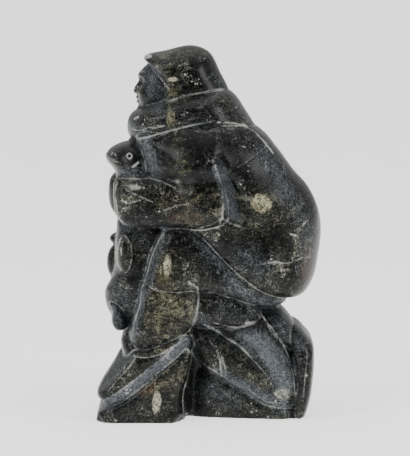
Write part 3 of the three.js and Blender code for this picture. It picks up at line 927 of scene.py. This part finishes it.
# Where the dark stone turns olive
OLIVE_AREAS = {
    "boot": ((-26, -46, 62), (22, 24, 24), 10, 0.64),
    "base": ((-26, -50, 26), (20, 24, 22), 30, 0.72),
    "sleeve": ((-12, -50, 138), (26, 24, 14), 8, 0.64),
    "knee": ((-26, -46, 98), (13, 24, 20), 10, 0.72),
    "back": ((40, -44, 126), (26, 30, 24), 0, 0.4),
    "back_low": ((58, -40, 98), (18, 40, 20), 0, 0.56),
    "chest_band": ((-19, -44, 166), (6, 24, 22), -4, 0.88),
    "hood_band": ((-23, -25, 206), (5, 24, 18), 8, 0.72),
    "calf_under": ((14, -40, 36), (14, 20, 12), 35, 0.32),
}

# Where it is lighter or, below zero, plainer and darker
TONE_AREAS = {
    "hood": ((-2, -20, 214), (20, 24, 15), 0, -0.19),
    "collar": ((0, -40, 193), (32, 24, 10), 8, -0.20),
    "shoulder": ((8, -44, 164), (32, 24, 18), 0, -0.17),
    "back_middle": ((22, -46, 112), (26, 24, 14), 20, -0.06),
    "back_up": ((32, -30, 158), (16, 30, 16), 0, -0.22),
    # This entry paints a lighter sheen on the back's right flank.
    "back_right_sheen": ((60, -36, 122), (12, 30, 22), 0, 0.05),
    "sleeve": ((-10, -44, 150), (20, 24, 10), 0, -0.08),
    "forearm": ((-44, -48, 140), (14, 20, 10), 0, 0.05),
    "thigh": ((-8, -46, 100), (16, 24, 12), 30, 0.03),
    "boot": ((-24, -46, 64), (18, 24, 20), 10, 0.08),
    # This entry is painted shade: the stone is darkened in the slot between the base's two blocks.
    "recess": ((-8, -40, 10), (16, 30, 16), 0, -0.18),
    "seal_head": ((-52, -30, 165), (13, 24, 8), 0, -0.13),
    "calf_under": ((14, -40, 36), (16, 20, 8), 35, -0.10),
    "sole": ((60, -36, 26), (7, 24, 26), 0, -0.10),
}

# Where small white chips crowd
CHIP_AREAS = {
    "rear_edge": ((36, -42, 7), (18, 20, 6), 12, 0.20),
    "ankle": ((48, -42, 18), (9, 20, 11), 0, 0.16),
    "sleeve_end": ((-46, -48, 144), (12, 20, 7), 0, 0.10),
    "sole_edge": ((60, -40, 34), (4, 20, 24), 0, 0.12),
    "shoulder": ((42, -30, 178), (6, 30, 12), 30, 0.12),
    "knee": ((-20, -46, 100), (12, 20, 10), 0, 0.08),
}

# The single inclusions, with their colour before their strength
INCLUSIONS = {
    "sleeve_rust": ((-14, -48, 128), (12, 20, 4), 14, RUST, 0.28),
    "sleeve_patch": ((-45, -48, 146.5), (4.5, 20, 2), 5, (0.32, 0.31, 0.25), 0.9),
    "base_rust": ((-38, -50, 21), (7, 20, 3.2), 35, RUST, 0.45),
    "back_rust": ((62, -36, 100), (5, 24, 12), 5, RUST, 0.35),
    "back_spot": ((33, -46, 137), (6.2, 14, 5.6), 0, (0.37, 0.355, 0.225), 1.0),
    "back_streak": ((22, -48, 140), (7, 10, 1.6), -15, (0.16, 0.16, 0.12), 0.7),
    "hood_patch": ((-22, -25, 212), (3.4, 24, 1.5), -30, CREAM, 0.95),
    "collar_blobs": ((-23, -40, 189), (2.8, 24, 6.0), 0, (0.28, 0.26, 0.17), 0.6),
    "chest_patch": ((-14, -46, 160), (6, 8, 9), 0, (0.28, 0.27, 0.16), 0.6),
    "thigh_patch": ((-25.5, -45, 98), (2.6, 20, 6.6), 12, CREAM, 0.85),
    "thigh_brown": ((-28, -45, 90), (5, 8, 5), 0, (0.09, 0.075, 0.035), 0.5),
    "base_patch": ((-32, -50, 13), (2.6, 20, 7.6), 6, CREAM, 0.8),
    "ankle_patch": ((46.5, -40, 16.5), (5.2, 24, 4.6), 0, (0.46, 0.46, 0.38), 0.95),
    "brim_chip": ((-38, -8, 226), (3.4, 12, 1.5), 15, (0.60, 0.60, 0.57), 1.0),
}

# Where an area begins and is full, in its half sizes
OLIVE_EDGE = (1.15, 0.35)
SOFT_EDGE = (1.2, 0.4)
COLLAR_EDGE = (1.1, 0.8)
INCLUSION_EDGE = (1.0, 0.88)

# The tones between which black stone turns to its body colour, and that to pale flecks
BODY_TONE = (-0.025, 0.185)
FLECK_TONE = (0.195, 0.355)
HAIR_WIDTH = 0.014              # how much of the pattern round a hairline is pale
SHADED = 0.22                   # the dark of an inclusion, as a part of its colour


class Soapstone:
    """The stone's material. Its patterns run from broad clouds to single grains."""

    def __init__(self):
        self.tree = tree = Tree("soapstone")
        self.place = place = tree.place()
        self.cloud = tree.noise(place, 26, 2, 0.55, 0.0)
        self.patch = tree.noise(place, 95, 3, 0.6, 0.8)
        self.mottle = tree.noise(place, 430, 3, 0.74, 0.8)
        self.grain = tree.noise(place, 1150, 2, 0.78, 0.5)
        beds = tree.stretch(place, turn=22, scale=(140, 140, 760))
        self.bedding = tree.noise(beds, 1.0, 3, 0.65, 0.3)
        self.fine = self.mottle * 0.7 + self.grain * 0.9
        self.rough = self.mottle * 1.6 + self.grain * 2.6 + self.patch * 0.8
        self.collar = self.blob(*COLLAR_AREA).ramp(*COLLAR_EDGE)

    def blob(self, middle, halves, turn):
        """The distance from an oval area's middle, in its half sizes."""
        scale = [1 / (half * MM) for half in halves]
        return self.tree.length(self.tree.stretch(self.place, [m * MM for m in middle], turn, scale))

    def with_areas(self, value, areas, edge):
        for middle, halves, turn, strength in areas.values():
            value = value + self.blob(middle, halves, turn).ramp(*edge) * strength
        return value

    def ground(self):
        """Black stone with a grey or olive body, pale flecks, and tool marks on the collar."""
        tree = self.tree
        olive = self.with_areas(self.patch * 1.6 + self.cloud * 0.8 + 0.05, OLIVE_AREAS, OLIVE_EDGE).clamp()
        fur = tree.noise(tree.stretch(self.place, turn=20, scale=(330, 330, 1900)), 1.0, 2, 0.7, 0.6)
        tone = self.fine + self.patch * 0.5 + self.cloud * 0.3 + self.bedding * 0.35
        tone = self.with_areas(tone + fur * self.collar * 1.7, TONE_AREAS, SOFT_EDGE)
        body = tree.blend(olive, GREY_GREEN, OLIVE)
        colour = tree.blend(tone.ramp(*BODY_TONE), BLACK_GREEN, body)
        fleck = tree.blend(olive, SILVER, STRAW)
        return tree.blend((tone + olive * 0.09).ramp(*FLECK_TONE) * 0.9, colour, fleck)

    def with_inclusions(self, colour):
        """Pale and rusty inclusions with ragged edges and a crackled inside."""
        ragged = self.patch * 1.9 + self.mottle * 1.7
        lit = (self.mottle * 2.4 + self.grain * 0.8).ramp(-0.14, 0.06)
        for middle, halves, turn, tint, strength in INCLUSIONS.values():
            shade = self.tree.blend(lit, [part * SHADED for part in tint], tint)
            edge = self.blob(middle, halves, turn) + ragged
            colour = self.tree.blend(edge.ramp(*INCLUSION_EDGE) * strength, colour, shade)
        return colour

    def dulled_and_sheen(self):
        """How much of the polish is gone and how much sheen is painted: in the dull and sheen zones and,
        less, in the hollows, where only the polish is gone.
        """
        dull_and_sheen = (self.tree.layer("dull_and_sheen") + self.rough).ramp(0.2, 1.3)
        hollow = (self.tree.layer("hollow") + self.rough * 0.5).ramp(0.5, 1.1)
        return dull_and_sheen.most(hollow * 0.4)

    def hairlines(self, turn, across):
        """Thin lines that run one way, `across` of them to a metre."""
        run = self.tree.stretch(self.place, turn=turn, scale=(across * 0.25, across, across))
        return self.tree.noise(run, 1.0, 1, 0.5, 0.5).size().ramp(HAIR_WIDTH, 0.0)

    def with_fine_marks(self, colour):
        hair = self.hairlines(38, 360).most(self.hairlines(-52, 300))
        hair = hair * (self.cloud.ramp(-0.04, 0.06) * 0.2 + self.collar * 0.4)
        colour = self.tree.blend(hair, colour, SILVER)
        crowd = self.with_areas(self.grain * 0.6 + self.patch, CHIP_AREAS, SOFT_EDGE)
        specks = self.tree.cells(self.place, 340).ramp(0.28, 0.14) * crowd.ramp(0.10, 0.20)
        return self.tree.blend(specks * 0.9, colour, WHITE_SPECK)

    def build(self):
        tree, shader = self.tree, self.tree.shader
        matte_and_sheen = self.dulled_and_sheen()
        # The blue-grey film is the dull, unpolished finish and, in the sheen zones, a painted sheen.
        film_and_sheen = tree.blend((self.fine + self.bedding * 0.3).ramp(-0.20, 0.20), DEEP_BLUE, BLUE_GREY)
        colour = tree.blend(matte_and_sheen * 0.92, self.with_inclusions(self.ground()), film_and_sheen)
        dust = (tree.layer("dust") + self.rough * 0.45 + self.patch * 1.3).ramp(0.35, 1.15) * 0.85
        colour = tree.blend(dust, self.with_fine_marks(colour), PALE_DUST)
        tree.feed(shader.inputs["Base Color"], colour)
        tree.feed(shader.inputs["Roughness"], 0.28 + matte_and_sheen * 0.35 + dust * 0.3 + self.mottle * 0.2)
        shader.inputs["IOR"].default_value = 1.26
        bump = tree.node("ShaderNodeBump")
        bump.inputs["Strength"].default_value = 0.3
        bump.inputs["Distance"].default_value = 0.4 * MM
        tree.feed(bump.inputs["Height"], self.grain * 0.4 + self.mottle * 0.6 + self.bedding * 0.5)
        tree.links.new(bump.outputs["Normal"], shader.inputs["Normal"])
        return tree.material


# ---------- studio ----------

FLOOR_HALF = 40.0
FLOOR_FRONT = -0.6              # the floor's front edge, before the carving
FLOOR_GLOW = 1.20               # the floor is a translucent sheet lit from below
ROOF_LIGHT = 1.35               # brightness of the tent's roof
ROOF_FADE = (0.7, 0.95)         # the heights between which it comes in
WALL_LIGHT = 0.55               # brightness of the tent's walls
WALL_FADE = (-0.6, 0.2)         # where along Y they come in
DARK_SIDE = 0.05                # brightness of the open side
BACKDROP = 2.50                 # brightness of the backdrop that the view itself sees
LAMP_TARGET = (0.0, 0.0, 0.1)


def add_floor():
    """A pale floor that runs far back, so that it fills the view."""
    work = bmesh.new()
    bmesh.ops.create_grid(work, x_segments=4, y_segments=4, size=FLOOR_HALF)
    bmesh.ops.translate(work, verts=work.verts, vec=(0.0, FLOOR_HALF + FLOOR_FRONT, 0.0))
    mesh = bpy.data.meshes.new("studio_floor")
    work.to_mesh(mesh)
    work.free()
    floor = bpy.data.objects.new("studio_floor", mesh)
    bpy.context.collection.objects.link(floor)
    tree = Tree("studio_floor")
    paper = {"Base Color": (0.82, 0.82, 0.81, 1.0), "Roughness": 0.9, "Specular IOR Level": 0.2,
             "Emission Color": (1.0, 1.0, 0.99, 1.0), "Emission Strength": FLOOR_GLOW}
    for key, value in paper.items():
        tree.shader.inputs[key].default_value = value
    floor.data.materials.append(tree.material)


def add_softbox(name, place, size, power):
    data = bpy.data.lights.new(name, "AREA")
    data.size, data.energy = size, power
    light = bpy.data.objects.new(name, data)
    light.location = place
    light.rotation_euler = (Vector(LAMP_TARGET) - Vector(place)).to_track_quat("-Z", "Y").to_euler()
    bpy.context.collection.objects.link(light)


def fade(tree, source, spread, dark, light):
    """A world node that turns a direction's part from dark to light over a spread."""
    node = tree.nodes.new("ShaderNodeMapRange")
    node.interpolation_type = "SMOOTHSTEP"
    for key, value in zip(("From Min", "From Max", "To Min", "To Max"), (*spread, dark, light)):
        node.inputs[key].default_value = value
    tree.links.new(source, node.inputs["Value"])
    return node.outputs["Result"]


def add_world():
    """A white tent, open and dark toward -Y. The view itself sees a pale backdrop."""
    world = bpy.data.worlds.new("studio")
    world.use_nodes = True
    tree = world.node_tree
    coordinate = tree.nodes.new("ShaderNodeTexCoord")
    parts = tree.nodes.new("ShaderNodeSeparateXYZ")
    tree.links.new(coordinate.outputs["Generated"], parts.inputs[0])
    tent = tree.nodes.new("ShaderNodeMath")
    tree.links.new(fade(tree, parts.outputs["Y"], WALL_FADE, DARK_SIDE, WALL_LIGHT), tent.inputs[0])
    tree.links.new(fade(tree, parts.outputs["Z"], ROOF_FADE, 0.0, ROOF_LIGHT), tent.inputs[1])
    path = tree.nodes.new("ShaderNodeLightPath")
    seen = tree.nodes.new("ShaderNodeMix")
    seen.data_type = "FLOAT"
    seen.inputs[3].default_value = BACKDROP
    tree.links.new(path.outputs["Is Camera Ray"], seen.inputs[0])
    tree.links.new(tent.outputs[0], seen.inputs[2])
    back = tree.nodes["Background"]
    back.inputs["Color"].default_value = (1.0, 1.0, 1.0, 1.0)
    tree.links.new(seen.outputs[0], back.inputs["Strength"])
    bpy.context.scene.world = world


add_camera()
add_floor()
add_world()
add_softbox("left_softbox", (-1.2, -1.0, 0.9), 0.8, 16)
add_softbox("right_softbox", (1.3, -0.8, 0.8), 0.7, 14)
stone = build_stone()
stone.data.materials.clear()
stone.data.materials.append(Soapstone().build())
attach(stone, "root")
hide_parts(NODE)
